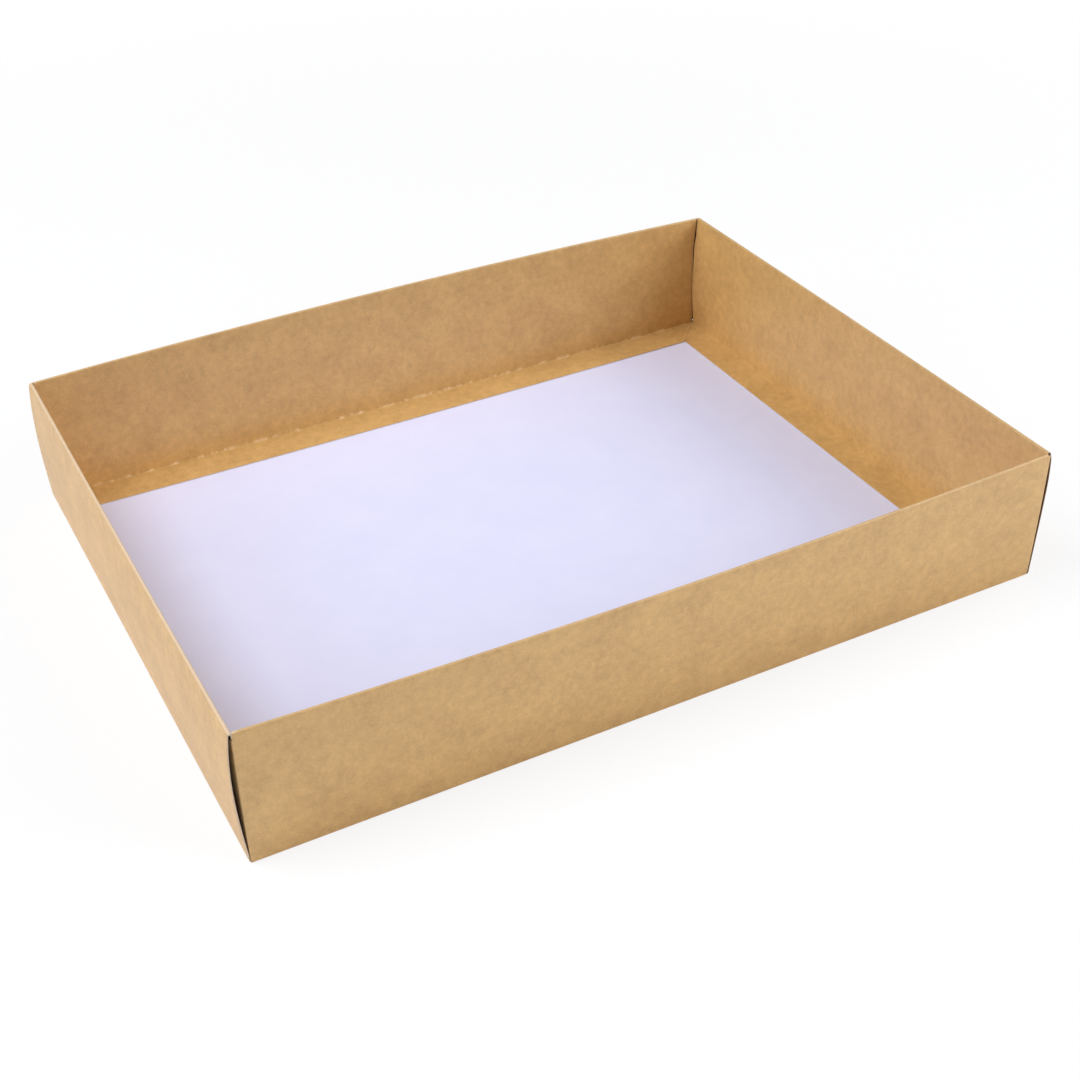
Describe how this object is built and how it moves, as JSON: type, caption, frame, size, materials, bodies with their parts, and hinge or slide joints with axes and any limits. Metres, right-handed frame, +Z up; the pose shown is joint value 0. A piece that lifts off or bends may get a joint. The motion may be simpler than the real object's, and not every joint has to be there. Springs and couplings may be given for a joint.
{
  "type": "cardboard tray box",
  "caption": "Open shallow rectangular tray of folded kraft board, with rolled double walls, inward foot flanges and a white reverse showing on the base.",
  "frame": {"origin": "centre of the bounding box in plan, on the surface that the tray stands on", "axes": "+X along the long walls, +Y from the front wall to the back wall, +Z up out of the tray's open top"},
  "size_m": [0.404, 0.3158, 0.0685],
  "materials": {
    "kraft_board": "matte kraft liner on the face, plain white liner on the reverse"
  },
  "bodies": {
    "root": {"folded_tray": "kraft_board"}
  },
  "joints": []
}
